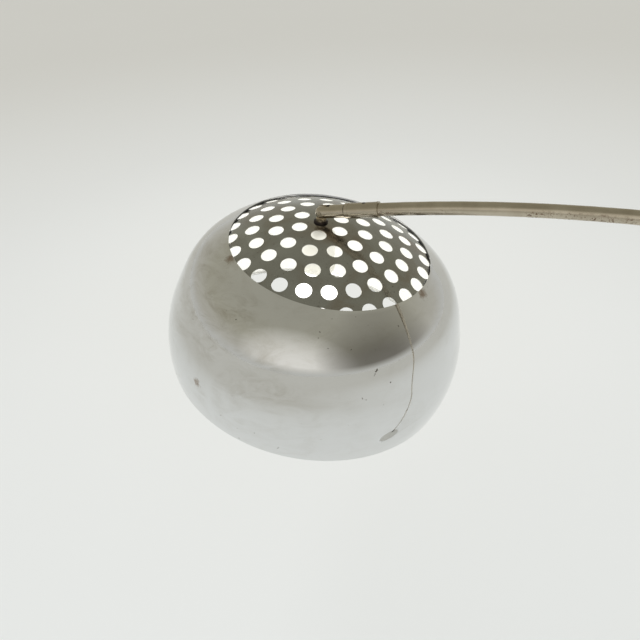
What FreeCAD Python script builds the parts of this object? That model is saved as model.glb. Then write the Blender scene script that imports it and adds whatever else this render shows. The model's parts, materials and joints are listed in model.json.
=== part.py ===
"""Arc floor lamp: weighted disc base, telescoping tubular arc, perforated dome and tilting ball shade.

Units are millimetres. The origin is the centre of the base's underside, +Z is up, and the arc
reaches from the pole, at +X, over the base to the head, at -X. The arc lies in the plane Y = 0.
"""
import FreeCAD, Part
import math
import os
from FreeCAD import Vector

# Base
BASE_R = 180.0
BASE_H = 36.0
BASE_EDGE_R = 7.0
COVER_WALL = 1.5
FELT_H = 3.0
FELT_R = BASE_R - 4.0
COVER_GAP = 0.1
SLOT_W = 12.0

# Pole, its socket and the clamp at its top
POLE_X = 140.0
POLE_R = 11.0
POLE_WALL = 1.5
POLE_TOP = 800.0
SOCKET_R = 16.0
SOCKET_H = 66.0
SOCKET_FLANGE_R = 25.0
SOCKET_FLANGE_H = 4.0
SOCKET_SCREW_PCD = 40.0
SOCKET_SCREW_R = 2.5
SOCKET_SCREW_ANGLES = (90, 210, 330)
SOCKET_CHAMFER = 1.5
COLLAR_R = 15.5
COLLAR_BELOW = 20.0
COLLAR_ABOVE = 18.0
COLLAR_FILLET = 1.0
BUSH_WALL = 1.15
BUSH_FLANGE_R = 13.0
BUSH_FLANGE_H = 2.0
KNOB_SHAFT_R = 3.0
KNOB_R = 10.0
KNOB_L = 12.0
KNOB_NECK = 1.3
KNOB_FLUTES = 12
FLUTE_R = 1.6
FLUTE_OUT = 0.6

# Arc
POLE_BEND_R = 892.0
HEAD_BEND_R = 1700.0
TANGENT_Z = 1125.0
ARC_END_DEG = -11.0
JOINT_DEG = 32.0
LOWER_R = 9.0
LOWER_WALL = 1.5
LOWER_FOOT_Z = 620.0
UPPER_R = 7.0
UPPER_WALL = 1.2
UPPER_OVERLAP_DEG = 2.2
REDUCER_R = 9.7
REDUCER_DEG = 0.8
JOINT_SCREW_R = 1.5
JOINT_SCREW_RECESS = 1.2
GUIDE_H = 16.0

# Swivel knuckle at the end of the arc, measured from the tilt pin along the arm
KNUCKLE_R = 7.3
KNUCKLE_L = 27.7
FERRULE_START = 28.9
FERRULE_R = 8.3
FERRULE_L = 38.0
FERRULE_LIP_R = 8.65
FERRULE_LIP_L = 2.0
FERRULE_GROOVE_AT = 4.0
FERRULE_GROOVE_W = 0.6
FERRULE_GROOVE_DEPTH = 0.25
SET_SCREW_R = 1.9
SET_SCREW_BACK = 16.0
SET_SCREW_RECESS = 0.5
TUBE_SEAT = 21.0
SPIGOT_R = 4.5
SPIGOT_DEPTH = 12.0
SPIGOT_GROOVE_AT = 3.0
SPIGOT_GROOVE_W = 2.5
SPIGOT_GROOVE_DEPTH = 0.8
RETAINER_R = 1.0
RETAINER_REACH = 0.5
RETAINER_RECESS = 0.4
FORK_SLOT_W = 5.2
FORK_SLOT_DEPTH = 11.0
PIN_R = 2.0
PIN_HEAD_R = 3.0
PIN_HEAD_H = 1.2
PIN_HEAD_SINK = 1.6
PIN_HEAD_PLAY = 0.1
PIN_NUT_H = 1.0
DRIVER_SLOT_W = 0.7
DRIVER_SLOT_DEPTH = 0.6

# Head: the dome hangs from the tilt pin, and the bowl rests on the dome
DOME_LEAN_DEG = 7.0
PIN_HEIGHT = 12.5
DOME_R = 224.0
DOME_WALL = 0.8
DOME_EDGE_DEG = 35.4
HOLE_R = 8.55
HOLE_STEP_DEG = 6.6
HOLE_RINGS = 5
HOLES_PER_RING = 6
HOLE_PHASES_DEG = (46.4, 8.7, 5.7, 12.3, 5.2)
BOWL_R = 180.0
BOWL_SQUASH = 0.9225
BOWL_WALL = 0.8
BOWL_ABOVE_DOME_CENTRE = 0.379 * BOWL_R
BOWL_TOP_DEG = 40.0
BOWL_BOTTOM_DEG = 103.0
BOWL_SWELL = 4.0
BOWL_SWELL_FROM_DEG = 38.0
BOWL_SWELL_TO_DEG = 74.0
BOWL_POINT_STEP_DEG = 3
BOWL_BEAD_R = 1.2
BOWL_TILT_DEG = 4.1
BOWL_TILT_TOWARD_DEG = 11.0
RING_INNER_R = DOME_R + 0.3
RING_WALL = 1.1
RING_FROM_DEG = 30.9
RING_TO_DEG = 33.4

# Hanger stack and lamp holder, measured down from the tilt pin
TONGUE_W = 4.8
EYE_R = 6.5
STEM_HALF = 4.6
NECK_TOP = 7.8
NECK_BOTTOM = 10.3
NECK_R = 5.8
WASHER_R = 8.0
WASHER_BOTTOM = 12.4
WASHER_SHOULDER = 0.4
WASHER_DISH = 1.1
NIPPLE_R = 5.0
NIPPLE_BORE = 3.2
NIPPLE_TOP = 8.8
NIPPLE_BOTTOM = 34.0
INNER_WASHER_R = 12.0
INNER_WASHER_TOP = 13.65
INNER_WASHER_H = 1.5
NUT_ACROSS_FLATS = 17.0
NUT_TOP = 15.25
NUT_H = 5.0
HOLDER_TOP = 21.0
HOLDER_SHOULDER = 33.0
HOLDER_R = 19.5
HOLDER_L = 38.0
SKIRT_WALL = 2.2
HOLDER_LIP = 1.5
HOLDER_LIP_H = 4.0
CAP_ROOF_H = 6.0
CAP_OUTER_STEPS = ((11.5, 0.0), (5.0, 3.0), (1.5, 7.0))
CAP_INNER_STEP = 7.0
INSERT_DROP = 4.0
INSERT_ROOF = 8.0
INSERT_RISE = 2.0
SHELL_OUTSIDE = 1.2
SHELL_INSIDE = 0.4
CONTACT_R = 2.0
CONTACT_UP = 6.0
CONTACT_DOWN = 1.8
BULB_DROP = 14.0
BULB_FOOT_R = 4.5
BULB_FOOT_H = 3.0
THREAD_DEPTH = 1.0
THREAD_CRESTS = 3
THREAD_PITCH = 5.0
THREAD_CREST_H = 2.0
THREAD_START = 7.0
WAIST_POLES = (0.55, 0.60)
BULB_CAP_R = 13.0
BULB_CAP_L = 25.0
BULB_R = 30.0
BULB_L = 80.0
BULB_NECK_R = 12.4
GLASS_WALL = 0.8

# Flex inside the base and the tubes
FLEX_R = 2.6
FLEX_BEND_R = 22.0
FLEX_Z = 18.0
FLEX_POLE_TOP = 480.0
HEAD_FLEX_R = 1.6
GLAND_R = 7.0
GLAND_BORE = 3.6
GLAND_LIP = 3.0
GLAND_L = 13.0

RUN_FIT = 0.04
CLEAR = 0.3
X_AXIS = Vector(1, 0, 0)
Y_AXIS = Vector(0, 1, 0)
Z_AXIS = Vector(0, 0, 1)
APEX = Vector(POLE_X - POLE_BEND_R, 0, TANGENT_Z + POLE_BEND_R)


def bend_radius(degrees):
    """The arc is flatter on the head's side of its top."""
    return HEAD_BEND_R if degrees < 0 else POLE_BEND_R


def bend_centre(degrees):
    """Centre of the bend that holds this stretch of the arc."""
    return APEX - Z_AXIS * bend_radius(degrees)


def arc_point(degrees, outward=0.0):
    """Point on the arc: 90 at the pole's tangent, 0 at the top, negative toward the head."""
    a = math.radians(degrees)
    return bend_centre(degrees) + Vector(math.sin(a), 0, math.cos(a)) * (bend_radius(degrees) + outward)


def arm_direction():
    """Unit vector from the tilt pin back along the straight end of the arm."""
    a = math.radians(ARC_END_DEG)
    return Vector(math.cos(a), 0, -math.sin(a))


PIN = arc_point(ARC_END_DEG) - arm_direction() * (FERRULE_START + FERRULE_L)
ARM_FRAME = FreeCAD.Placement(PIN, FreeCAD.Rotation(Z_AXIS, arm_direction()))
HEAD_FRAME = FreeCAD.Placement(PIN, FreeCAD.Rotation(Y_AXIS, DOME_LEAN_DEG))
DOME_CENTRE = Vector(0, 0, -(PIN_HEIGHT + DOME_R))


def bowl_frame():
    """Placement of the bowl's own axis, through the dome's centre and tilted on the dome."""
    a = math.radians(BOWL_TILT_TOWARD_DEG)
    tilt = FreeCAD.Rotation(Vector(-math.sin(a), math.cos(a), 0), BOWL_TILT_DEG)
    return HEAD_FRAME.multiply(FreeCAD.Placement(DOME_CENTRE, tilt))


def placed(shape, placement):
    """Copy of the shape moved from a local frame into the lamp's frame."""
    moved = shape.copy()
    moved.Placement = placement.multiply(moved.Placement)
    return moved


def rod(radius, start, end):
    """Solid cylinder between two points."""
    axis = end - start
    return Part.makeCylinder(radius, axis.Length, start, axis)


def tube(outer, inner, start, end):
    """Hollow cylinder between two points."""
    return rod(outer, start, end).cut(rod(inner, start, end))


def upright(radius, low, high, x=POLE_X, y=0.0):
    """Vertical solid cylinder, on the pole's axis unless placed elsewhere."""
    return rod(radius, Vector(x, y, low), Vector(x, y, high))


def revolved(points, axis_point=Vector(0, 0, 0), axis=Z_AXIS):
    """Solid of revolution of a closed polygon."""
    wire = Part.makePolygon(points + [points[0]])
    return Part.Face(wire).revolve(axis_point, axis, 360)


def arc_tube(outer, inner, from_deg, to_deg):
    """Hollow tube along one bend of the arc, which starts at from_deg."""
    centre = arc_point(from_deg)
    tangent = Vector(math.cos(math.radians(from_deg)), 0, -math.sin(math.radians(from_deg)))
    face = Part.Face(Part.Wire(Part.makeCircle(outer, centre, tangent)))
    if inner > 0:
        face = face.cut(Part.Face(Part.Wire(Part.makeCircle(inner, centre, tangent))))
    return face.revolve(bend_centre(from_deg), Y_AXIS, to_deg - from_deg)


def one_solid(shape):
    """The single solid held in a boolean's result, with its seams merged."""
    return shape.removeSplitter().Solids[0]


def hex_prism(across_flats, low, high):
    """Six-sided prism on the local Z axis."""
    corner = across_flats / math.sqrt(3)
    points = [Vector(corner * math.cos(math.radians(a)), corner * math.sin(math.radians(a)), low)
              for a in range(0, 360, 60)]
    face = Part.Face(Part.makePolygon(points + [points[0]]))
    return face.extrude(Vector(0, 0, high - low))


# ---- base ----

def rounded_disc(radius, low, high, edge):
    """Disc whose upper rim is rounded."""
    disc = Part.makeCylinder(radius, high - low, Vector(0, 0, low))
    rim = [e for e in disc.Edges if e.BoundBox.ZMin > high - COVER_GAP and e.BoundBox.ZMax < high + COVER_GAP]
    return disc.makeFillet(edge, rim)


def screw_spots():
    """Angles of the three screws that hold the socket."""
    return [math.radians(a) for a in SOCKET_SCREW_ANGLES]


def on_socket_circle(angle):
    """Plan position of a socket screw."""
    reach = SOCKET_SCREW_PCD / 2
    return POLE_X + reach * math.cos(angle), reach * math.sin(angle)


def felt_pad():
    return Part.makeCylinder(FELT_R, FELT_H)


def base_weight():
    radius = BASE_R - COVER_WALL - COVER_GAP
    top = BASE_H - COVER_WALL
    disc = rounded_disc(radius, FELT_H, top, BASE_EDGE_R - COVER_WALL)
    slot = Part.makeBox(radius - POLE_X + 2 * SLOT_W, SLOT_W, BASE_H,
                        Vector(POLE_X - SLOT_W / 2, -SLOT_W / 2, 0))
    disc = disc.cut(slot)
    for angle in screw_spots():
        x, y = on_socket_circle(angle)
        disc = disc.cut(upright(SOCKET_SCREW_R, 0, BASE_H, x, y))
        disc = disc.cut(upright(2 * SOCKET_SCREW_R, 0, FELT_H + 2 * SOCKET_SCREW_R, x, y))
    return one_solid(disc)


def base_cover():
    outer = rounded_disc(BASE_R, FELT_H, BASE_H, BASE_EDGE_R)
    inner = rounded_disc(BASE_R - COVER_WALL, 0, BASE_H - COVER_WALL, BASE_EDGE_R - COVER_WALL)
    shell = outer.cut(inner).cut(upright(SLOT_W / 2, 0, 2 * BASE_H))
    shell = shell.cut(rod(GLAND_R - CLEAR, Vector(POLE_X, 0, FLEX_Z), Vector(2 * BASE_R, 0, FLEX_Z)))
    for angle in screw_spots():
        x, y = on_socket_circle(angle)
        shell = shell.cut(upright(SOCKET_SCREW_R, 0, 2 * BASE_H, x, y))
    return one_solid(shell)


def cable_gland():
    """Grommet that clips into the cover's rim, lipped inside and out, where the lead enters."""
    outside = Vector(BASE_R + GLAND_LIP, 0, FLEX_Z)
    inside = outside - X_AXIS * GLAND_L
    lip_start = Vector(BASE_R, 0, FLEX_Z)
    neck = GLAND_R - CLEAR
    body = rod(neck, inside, outside).fuse(rod(GLAND_R + GLAND_LIP / 2, lip_start, outside))
    body = body.makeFillet(GLAND_LIP / 3, [e for e in body.Edges if e.BoundBox.XMin > outside.x - COVER_GAP])
    notch = Part.makeBox(GLAND_L, BASE_R, BASE_R, inside - Vector(COVER_WALL, BASE_R / 2, BASE_R / 2))
    narrow = rod(SLOT_W / 2 - COVER_GAP, inside, outside)
    body = body.cut(notch.cut(narrow))
    return one_solid(body.cut(rod(GLAND_BORE, inside - X_AXIS, outside + X_AXIS)))


# ---- pole and clamp ----

def pole_socket():
    top = BASE_H + SOCKET_H
    floor = BASE_H + 2 * SOCKET_FLANGE_H
    body = upright(SOCKET_R, BASE_H, top)
    body = body.makeChamfer(SOCKET_CHAMFER, [e for e in body.Edges if e.BoundBox.ZMin > top - 1])
    body = body.fuse(upright(SOCKET_FLANGE_R, BASE_H, BASE_H + SOCKET_FLANGE_H))
    body = body.cut(upright(POLE_R, floor, top + SOCKET_H)).cut(upright(SLOT_W / 2, 0, top))
    for angle in screw_spots():
        x, y = on_socket_circle(angle)
        body = body.cut(upright(SOCKET_SCREW_R, 0, BASE_H + SOCKET_FLANGE_H / 2, x, y))
    return one_solid(body)


def socket_screws():
    """Three screws up through the weight into the socket's flange."""
    screws = []
    for angle in screw_spots():
        x, y = on_socket_circle(angle)
        head = upright(2 * SOCKET_SCREW_R - CLEAR, FELT_H + CLEAR, FELT_H + 2 * SOCKET_SCREW_R, x, y)
        shank = upright(SOCKET_SCREW_R, FELT_H + SOCKET_SCREW_R, BASE_H + SOCKET_FLANGE_H / 2, x, y)
        screws.append(one_solid(head.fuse(shank)))
    return Part.makeCompound(screws)


def pole_tube():
    bottom = BASE_H + 2 * SOCKET_FLANGE_H
    return upright(POLE_R, bottom, POLE_TOP).cut(upright(POLE_R - POLE_WALL, 0, 2 * POLE_TOP))


def bush_outer_r():
    return LOWER_R + RUN_FIT + BUSH_WALL


def clamp_collar():
    """Collar on the pole's top: its upper half houses the split bush and its boss the thumbscrew."""
    top = POLE_TOP + COLLAR_ABOVE
    body = upright(COLLAR_R, POLE_TOP - COLLAR_BELOW, top)
    rims = [e for e in body.Edges if e.Length > COLLAR_R]
    rims = [e for e in rims if abs(e.BoundBox.ZMax - e.BoundBox.ZMin) < 1]
    body = body.makeFillet(COLLAR_FILLET, rims)
    body = body.fuse(rod(2 * KNOB_SHAFT_R, knob_point(LOWER_R + POLE_WALL), knob_point(COLLAR_R + KNOB_SHAFT_R)))
    body = body.cut(upright(POLE_R, 0, POLE_TOP)).cut(upright(bush_outer_r() + RUN_FIT, POLE_TOP - 1, 2 * top))
    return one_solid(body.cut(rod(KNOB_SHAFT_R + RUN_FIT, knob_point(0), knob_point(2 * COLLAR_R))))


def knob_point(reach):
    """Point on the thumbscrew's axis at a distance from the pole's axis."""
    return Vector(POLE_X + reach, 0, POLE_TOP + COLLAR_ABOVE / 2)


def clamp_bush():
    """Flanged nylon bush that turns in the collar and in which the arc slides."""
    top = POLE_TOP + COLLAR_ABOVE + CLEAR
    body = upright(bush_outer_r(), POLE_TOP + CLEAR, top + BUSH_FLANGE_H)
    body = body.fuse(upright(BUSH_FLANGE_R, top, top + BUSH_FLANGE_H))
    return one_solid(body.cut(upright(LOWER_R + RUN_FIT, 0, 2 * top)))


def clamp_knob():
    """Thumbscrew with a fluted head."""
    head_start = COLLAR_R + KNOB_SHAFT_R + KNOB_NECK
    head = rod(KNOB_R, knob_point(head_start), knob_point(head_start + KNOB_L))
    head = head.makeFillet(FLUTE_R, [e for e in head.Edges if e.BoundBox.XLength < 1])
    for i in range(KNOB_FLUTES):
        a = 2 * math.pi * i / KNOB_FLUTES
        offset = Vector(0, math.cos(a), math.sin(a)) * (KNOB_R + FLUTE_OUT)
        head = head.cut(rod(FLUTE_R, knob_point(0) + offset, knob_point(3 * KNOB_R) + offset))
    return one_solid(head.fuse(rod(KNOB_SHAFT_R, knob_point(bush_outer_r() + CLEAR), knob_point(head_start + 1))))


# ---- arc ----

def lower_arc():
    """Thicker tube: straight where it stands in the pole, then bent along the arc."""
    foot = Vector(POLE_X, 0, LOWER_FOOT_Z)
    straight = tube(LOWER_R, LOWER_R - LOWER_WALL, foot, Vector(POLE_X, 0, TANGENT_Z))
    return one_solid(straight.fuse(arc_tube(LOWER_R, LOWER_R - LOWER_WALL, JOINT_DEG, 90)))


def guide_bush():
    """Nylon ring pressed on the arc's foot, which guides it inside the pole."""
    bore = POLE_R - POLE_WALL
    outer = upright(bore - RUN_FIT, LOWER_FOOT_Z - GUIDE_H / 2, LOWER_FOOT_Z)
    plug = upright(LOWER_R - LOWER_WALL, LOWER_FOOT_Z, LOWER_FOOT_Z + GUIDE_H / 2)
    return one_solid(outer.fuse(plug).cut(upright(FLEX_R + CLEAR, 0, POLE_TOP)))


def joint_reducer():
    """Collar and liner that step the arc down from the thick tube to the thin one."""
    liner = arc_tube(LOWER_R - LOWER_WALL, UPPER_R, JOINT_DEG, JOINT_DEG + UPPER_OVERLAP_DEG)
    collar = arc_tube(REDUCER_R, UPPER_R, JOINT_DEG - REDUCER_DEG, JOINT_DEG)
    body = one_solid(liner.fuse(collar))
    return one_solid(body.cut(joint_screw_rod(0)))


def joint_screw_rod(recess):
    """Radial rod on the outer side of the reducer's collar."""
    middle = JOINT_DEG - REDUCER_DEG / 2
    return rod(JOINT_SCREW_R, arc_point(middle, UPPER_R), arc_point(middle, REDUCER_R + 1 - recess))


def joint_screw():
    return joint_screw_rod(JOINT_SCREW_RECESS)


def upper_arc():
    """Thinner tube that carries the head, seated in the end ferrule."""
    inner = UPPER_R - UPPER_WALL
    over = arc_tube(UPPER_R, inner, 0, JOINT_DEG + UPPER_OVERLAP_DEG)
    bent = over.fuse(arc_tube(UPPER_R, inner, ARC_END_DEG, 0))
    end = arc_point(ARC_END_DEG)
    return one_solid(bent.fuse(tube(UPPER_R, inner, end - arm_direction() * TUBE_SEAT, end)))


def along(distance):
    """Point on the arm's axis in the arm's own frame."""
    return Vector(0, 0, distance)


def end_ferrule():
    """Ferrule on the arm's end, lipped where the tube enters, with a drilled set-screw hole."""
    end = FERRULE_START + FERRULE_L
    body = rod(FERRULE_R, along(FERRULE_START), along(end))
    body = body.fuse(rod(FERRULE_LIP_R, along(end - FERRULE_LIP_L), along(end)))
    ring = FERRULE_START + FERRULE_GROOVE_AT
    groove = tube(FERRULE_LIP_R, FERRULE_R - FERRULE_GROOVE_DEPTH, along(ring), along(ring + FERRULE_GROOVE_W))
    body = body.cut(groove).cut(rod(UPPER_R, along(end - TUBE_SEAT), along(2 * end)))
    body = body.cut(rod(SPIGOT_R, along(0), along(end)))
    return placed(one_solid(body.cut(set_screw_rod(UPPER_R, FERRULE_R + 2))), ARM_FRAME)


def set_screw_rod(start, end):
    """Radial rod toward the upper side of the ferrule; local -X is up."""
    where = FERRULE_START + FERRULE_L - SET_SCREW_BACK
    return rod(SET_SCREW_R, Vector(-start, 0, where), Vector(-end, 0, where))


def ferrule_screw():
    return placed(set_screw_rod(UPPER_R, FERRULE_R - SET_SCREW_RECESS), ARM_FRAME)


def swivel_spigot():
    """Hollow spigot pressed in the ferrule, on which the knuckle turns, with a retaining head."""
    neck = FERRULE_START - SPIGOT_DEPTH
    body = rod(SPIGOT_R, along(FERRULE_START), along(FERRULE_START + FERRULE_L - TUBE_SEAT))
    body = body.fuse(rod(SPIGOT_R - RUN_FIT, along(neck), along(FERRULE_START)))
    groove = neck + SPIGOT_GROOVE_AT
    body = body.cut(tube(SPIGOT_R, SPIGOT_R - SPIGOT_GROOVE_DEPTH, along(groove), along(groove + SPIGOT_GROOVE_W)))
    return placed(one_solid(body.cut(rod(FLEX_R, along(0), along(FERRULE_START + FERRULE_L)))), ARM_FRAME)


# ---- knuckle and hanger ----

def knuckle():
    """Round fork with a domed end, slotted for the hanger's tongue."""
    body = rod(KNUCKLE_R, along(0), along(KNUCKLE_L)).fuse(Part.makeSphere(KNUCKLE_R))
    slot = Part.makeBox(4 * KNUCKLE_R, FORK_SLOT_W, 2 * KNUCKLE_R + FORK_SLOT_DEPTH,
                        Vector(-2 * KNUCKLE_R, -FORK_SLOT_W / 2, -2 * KNUCKLE_R))
    body = body.cut(slot).cut(rod(SPIGOT_R, along(KNUCKLE_L - SPIGOT_DEPTH - CLEAR), along(2 * KNUCKLE_L)))
    body = body.cut(rod(FLEX_R, along(0), along(KNUCKLE_L)))
    body = body.cut(rod(PIN_R, Vector(0, -2 * KNUCKLE_R, 0), Vector(0, 2 * KNUCKLE_R, 0)))
    body = body.cut(rod(PIN_HEAD_R, Vector(0, -2 * KNUCKLE_R, 0), Vector(0, -KNUCKLE_R + PIN_HEAD_SINK, 0)))
    body = body.cut(rod(PIN_HEAD_R, Vector(0, KNUCKLE_R - PIN_HEAD_SINK, 0), Vector(0, 2 * KNUCKLE_R, 0)))
    return placed(one_solid(body.cut(retainer_rod(KNUCKLE_R + 1))), ARM_FRAME)


def retainer_rod(end):
    """Radial rod on the knuckle's underside that reaches into the spigot's groove."""
    where = FERRULE_START - SPIGOT_DEPTH + SPIGOT_GROOVE_AT + SPIGOT_GROOVE_W / 2
    return rod(RETAINER_R, Vector(SPIGOT_R - RETAINER_REACH, 0, where), Vector(end, 0, where))


def retaining_screw():
    return placed(retainer_rod(KNUCKLE_R - RETAINER_RECESS), ARM_FRAME)


def pivot_screw():
    """Tilt pin: its shank spans the fork, and a slotted head sits in the near cheek."""
    face = -KNUCKLE_R + PIN_HEAD_SINK
    body = rod(PIN_R, Vector(0, face, 0), Vector(0, -face + PIN_NUT_H, 0))
    head = rod(PIN_HEAD_R - PIN_HEAD_PLAY, Vector(0, face - PIN_HEAD_H, 0), Vector(0, face, 0))
    corner = Vector(-PIN_HEAD_R, face - PIN_HEAD_H, -DRIVER_SLOT_W / 2)
    head = head.cut(Part.makeBox(2 * PIN_HEAD_R, DRIVER_SLOT_DEPTH, DRIVER_SLOT_W, corner))
    return placed(one_solid(body.fuse(head)), ARM_FRAME)


def pivot_nut():
    """Round nut sunk in the fork's far cheek."""
    face = KNUCKLE_R - PIN_HEAD_SINK
    nut = tube(PIN_HEAD_R - PIN_HEAD_PLAY, PIN_R, Vector(0, face, 0), Vector(0, face + PIN_NUT_H, 0))
    return placed(nut, ARM_FRAME)


def hanger():
    """Tongue with an eye for the tilt pin, standing on a round neck."""
    half = TONGUE_W / 2
    eye = rod(EYE_R, Vector(0, -half, 0), Vector(0, half, 0))
    stem = Part.makeBox(2 * STEM_HALF, TONGUE_W, NECK_TOP + CLEAR, Vector(-STEM_HALF, -half, -NECK_TOP - CLEAR))
    body = eye.fuse(stem).fuse(rod(NECK_R, along(-NECK_BOTTOM), along(-NECK_TOP)))
    body = body.cut(rod(PIN_R + RUN_FIT, Vector(0, -EYE_R, 0), Vector(0, EYE_R, 0)))
    return placed(one_solid(body.cut(rod(NIPPLE_R, along(-WASHER_BOTTOM), along(-NIPPLE_TOP)))), HEAD_FRAME)


def top_washer():
    """Dark dished washer between the neck and the dome."""
    profile = [Vector(NIPPLE_R, 0, -NECK_BOTTOM), Vector(NECK_R + WASHER_SHOULDER, 0, -NECK_BOTTOM),
               Vector(WASHER_R, 0, -NECK_BOTTOM - WASHER_DISH), Vector(WASHER_R, 0, -WASHER_BOTTOM),
               Vector(NIPPLE_R, 0, -WASHER_BOTTOM)]
    return placed(revolved(profile), HEAD_FRAME)


def threaded_nipple():
    return placed(tube(NIPPLE_R, NIPPLE_BORE, along(-NIPPLE_BOTTOM), along(-NIPPLE_TOP)), HEAD_FRAME)


def inner_washer():
    low = -INNER_WASHER_TOP - INNER_WASHER_H
    return placed(tube(INNER_WASHER_R, NIPPLE_R + 2 * RUN_FIT, along(low), along(-INNER_WASHER_TOP)), HEAD_FRAME)


def lock_nut():
    body = hex_prism(NUT_ACROSS_FLATS, -NUT_TOP - NUT_H, -NUT_TOP)
    return placed(body.cut(rod(NIPPLE_R, along(-2 * NUT_TOP), along(0))), HEAD_FRAME)


# ---- lamp holder and bulb ----

def holder_cap():
    """Bell-shaped upper half of the lamp holder, screwed on the nipple."""
    shoulder = -HOLDER_SHOULDER
    profile = [Vector(NIPPLE_R, 0, -HOLDER_TOP)]
    profile += [Vector(HOLDER_R - inset, 0, -HOLDER_TOP - drop) for inset, drop in CAP_OUTER_STEPS]
    profile += [Vector(HOLDER_R, 0, shoulder), Vector(HOLDER_R - SKIRT_WALL, 0, shoulder),
                Vector(HOLDER_R - CAP_INNER_STEP, 0, -HOLDER_TOP - CAP_ROOF_H),
                Vector(NIPPLE_R, 0, -HOLDER_TOP - CAP_ROOF_H)]
    return placed(revolved(profile), HEAD_FRAME)


def holder_skirt():
    """Tubular lower half, which carries the screw socket."""
    top = -HOLDER_SHOULDER
    bottom = top - HOLDER_L
    body = tube(HOLDER_R, HOLDER_R - SKIRT_WALL, along(bottom), along(top))
    lip = tube(HOLDER_R + HOLDER_LIP, HOLDER_R - SKIRT_WALL, along(bottom), along(bottom + HOLDER_LIP_H))
    return placed(one_solid(body.fuse(lip)), HEAD_FRAME)


def holder_insert():
    """Insulating core with the threaded shell's seat."""
    top = -HOLDER_SHOULDER - INSERT_DROP
    body = rod(HOLDER_R - SKIRT_WALL, along(shell_bottom()), along(top))
    body = body.cut(rod(BULB_CAP_R + SHELL_OUTSIDE, along(2 * shell_bottom()), along(shell_top())))
    return placed(one_solid(body.cut(rod(CONTACT_R, along(shell_bottom()), along(0)))), HEAD_FRAME)


def shell_top():
    """Height of the threaded shell's seat."""
    return -HOLDER_SHOULDER - INSERT_DROP - INSERT_ROOF


def shell_bottom():
    """Height of the core's and shell's lower edge."""
    return -HOLDER_SHOULDER - HOLDER_L + INSERT_RISE


def screw_shell():
    """Brass threaded shell inside the insert."""
    outer = BULB_CAP_R + SHELL_OUTSIDE
    return placed(tube(outer, BULB_CAP_R + SHELL_INSIDE, along(shell_bottom()), along(shell_top())), HEAD_FRAME)


def centre_contact():
    seat = shell_top()
    return placed(rod(CONTACT_R, along(seat - CONTACT_DOWN), along(seat + CONTACT_UP)), HEAD_FRAME)


def bulb_cap():
    """Screw cap of the bulb, with rolled thread crests and a foot contact."""
    top = -HOLDER_SHOULDER - BULB_DROP
    body = rod(BULB_CAP_R - THREAD_DEPTH, along(top - BULB_CAP_L), along(top - BULB_FOOT_H))
    for i in range(THREAD_CRESTS):
        crest = top - THREAD_START - THREAD_PITCH * i
        body = body.fuse(rod(BULB_CAP_R, along(crest - THREAD_CREST_H), along(crest)))
    return placed(one_solid(body.fuse(rod(BULB_FOOT_R, along(top - BULB_FOOT_H), along(top)))), HEAD_FRAME)


def bulb_outline(shrink):
    """Closed half-outline of the bulb's glass: round end, then a curve in to the neck."""
    top = -HOLDER_SHOULDER - BULB_DROP - BULB_CAP_L
    centre = top - BULB_L + BULB_R
    radius = BULB_R - shrink
    neck = BULB_NECK_R - shrink
    tip = Vector(0, 0, centre - radius)
    side = Vector(radius, 0, centre)
    low = Vector(radius * math.sqrt(0.5), 0, centre - radius * math.sqrt(0.5))
    first, second = (centre + share * (top - centre) for share in WAIST_POLES)
    waist = Part.BezierCurve()
    waist.setPoles([side, Vector(radius, 0, first), Vector(neck, 0, second), Vector(neck, 0, top)])
    edges = [Part.Arc(tip, low, side).toShape(), waist.toShape(),
             Part.makeLine(Vector(neck, 0, top), Vector(0, 0, top)), Part.makeLine(Vector(0, 0, top), tip)]
    return Part.Face(Part.Wire(edges))


def bulb_glass():
    outer = bulb_outline(0).revolve(Vector(0, 0, 0), Z_AXIS, 360)
    inner = bulb_outline(GLASS_WALL).revolve(Vector(0, 0, 0), Z_AXIS, 360)
    return placed(one_solid(outer.cut(inner)), HEAD_FRAME)


# ---- dome, glide ring and bowl ----

def sphere_zone(outer, inner, from_deg, to_deg):
    """Shell of a sphere between two angles from the local Z axis."""
    def at(radius, degrees):
        a = math.radians(degrees)
        return Vector(radius * math.sin(a), 0, radius * math.cos(a))

    def edge_arc(radius):
        middle = (from_deg + to_deg) / 2
        return Part.Arc(at(radius, from_deg), at(radius, middle), at(radius, to_deg)).toShape()

    edges = [edge_arc(outer), Part.makeLine(at(outer, to_deg), at(inner, to_deg)),
             edge_arc(inner), Part.makeLine(at(inner, from_deg), at(outer, from_deg))]
    return Part.Face(Part.Wire(Part.sortEdges(edges)[0])).revolve(Vector(0, 0, 0), Z_AXIS, 360)


def dome_holes():
    """Round punches, in rings at equal steps out from the dome's pole."""
    punches = []
    for ring in range(1, HOLE_RINGS + 1):
        polar = math.radians(HOLE_STEP_DEG * ring)
        count = HOLES_PER_RING * ring
        for i in range(count):
            lon = math.radians(HOLE_PHASES_DEG[ring - 1] + 360.0 * i / count)
            way = Vector(math.sin(polar) * math.cos(lon), math.sin(polar) * math.sin(lon), math.cos(polar))
            punches.append(rod(HOLE_R, way * (DOME_R - 3 * HOLE_R), way * (DOME_R + HOLE_R)))
    return punches


def perforated_dome():
    hole_deg = math.degrees((NIPPLE_R + 2 * RUN_FIT) / DOME_R)
    shell = sphere_zone(DOME_R, DOME_R - DOME_WALL, hole_deg, DOME_EDGE_DEG)
    shell = shell.cut(Part.makeCompound(dome_holes()))
    return placed(shell.Solids[0], HEAD_FRAME.multiply(FreeCAD.Placement(DOME_CENTRE, FreeCAD.Rotation())))


def glide_ring():
    """Thin nylon ring that rides on the dome and carries the bowl's top edge."""
    return placed(sphere_zone(RING_INNER_R + RING_WALL, RING_INNER_R, RING_FROM_DEG, RING_TO_DEG), bowl_frame())


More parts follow.
